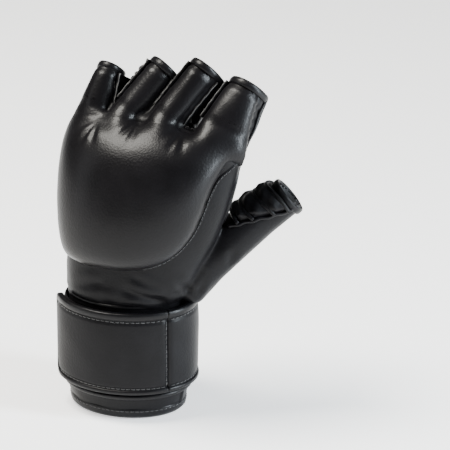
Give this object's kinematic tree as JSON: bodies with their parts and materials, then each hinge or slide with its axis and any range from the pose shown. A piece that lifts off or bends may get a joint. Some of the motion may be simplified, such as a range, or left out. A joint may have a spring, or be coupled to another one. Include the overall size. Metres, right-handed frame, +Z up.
{
  "type": "mma glove",
  "caption": "Left open-palm padded martial arts glove with open finger and thumb stalls, one-piece knuckle pad and wraparound hook-and-loop wrist strap.",
  "frame": {"origin": "centre of the wrist opening, in the plane of the cuff's lower edge", "axes": "+Z up the hand from the wrist opening to the fingers, -Y out of the back of the hand (knuckle pad), +Y out of the palm, +X towards the thumb"},
  "size_m": [0.1676, 0.1008, 0.2547],
  "materials": {
    "leather": "satin",
    "binding": "satin",
    "foam": "matte",
    "lining": "matte",
    "hook_tape": "matte",
    "loop_tape": "matte",
    "label": "matte"
  },
  "bodies": {
    "hand": {"cuff_leather": "leather", "cuff_foam": "foam", "cuff_lining": "lining", "cuff_hem_binding": "binding", "cuff_overlap_flap": "leather", "inner_label": "label", "strap_inner_turn": "leather", "strap_outer_turn": "leather", "strap_outer_edging": "binding", "loop_tape": "loop_tape", "hand_lining": "lining", "wrist_gusset": "leather", "thumb_side_panel": "leather", "palm_bar": "leather", "little_side_panel": "leather", "little_heel_panel": "leather", "thumb_heel_panel": "leather", "palm_edge_binding": "binding", "web_edge_binding": "binding", "knuckle_pad_shell": "leather", "knuckle_pad_foam": "foam", "thumb_base_panel": "leather"},
    "thumb": {"thumb_stall_panel": "leather", "thumb_web_band": "leather", "thumb_stall_lining": "lining", "thumb_rim_binding": "binding"},
    "strap_tail": {"strap_tail": "leather", "strap_tail_edging": "binding", "strap_tail_end_binding": "binding", "hook_tape": "hook_tape"},
    "little_finger": {"little_pad_shell": "leather", "little_pad_foam": "foam", "little_stall_leather": "leather", "little_stall_lining": "lining", "little_rim_binding": "binding"},
    "ring_finger": {"ring_pad_shell": "leather", "ring_pad_foam": "foam", "ring_stall_leather": "leather", "ring_stall_lining": "lining", "ring_rim_binding": "binding"},
    "middle_finger": {"middle_pad_shell": "leather", "middle_pad_foam": "foam", "middle_stall_leather": "leather", "middle_stall_lining": "lining", "middle_rim_binding": "binding"},
    "index_finger": {"index_pad_shell": "leather", "index_pad_foam": "foam", "index_stall_leather": "leather", "index_stall_lining": "lining", "index_rim_binding": "binding"}
  },
  "joints": [
    {"name": "little_knuckle", "type": "hinge", "parent": "hand", "child": "little_finger", "pos_m": [-0.0215, 0.0115, 0.2191], "axis": [-0.9744, 0, 0.225], "range_deg": [-8, 40]},
    {"name": "ring_knuckle", "type": "hinge", "parent": "hand", "child": "ring_finger", "pos_m": [0.0044, 0.012, 0.22], "axis": [-0.848, 0, 0.5299], "range_deg": [-8, 40]},
    {"name": "middle_knuckle", "type": "hinge", "parent": "hand", "child": "middle_finger", "pos_m": [0.0334, 0.0108, 0.2178], "axis": [-0.848, 0, 0.5299], "range_deg": [-8, 40]},
    {"name": "index_knuckle", "type": "hinge", "parent": "hand", "child": "index_finger", "pos_m": [0.0706, 0.0132, 0.2105], "axis": [-0.9272, 0, 0.3746], "range_deg": [-8, 40]},
    {"name": "thumb_base", "type": "hinge", "parent": "hand", "child": "thumb", "pos_m": [0.0739, 0.02053, 0.12229], "axis": [-0.0303, -0.9045, 0.4254], "range_deg": [-12, 22]},
    {"name": "strap_tail_hinge", "type": "hinge", "parent": "hand", "child": "strap_tail", "pos_m": [0.03794, -0.02569, 0.052], "axis": [0, 0, 1], "range_deg": [0, 120]}
  ]
}
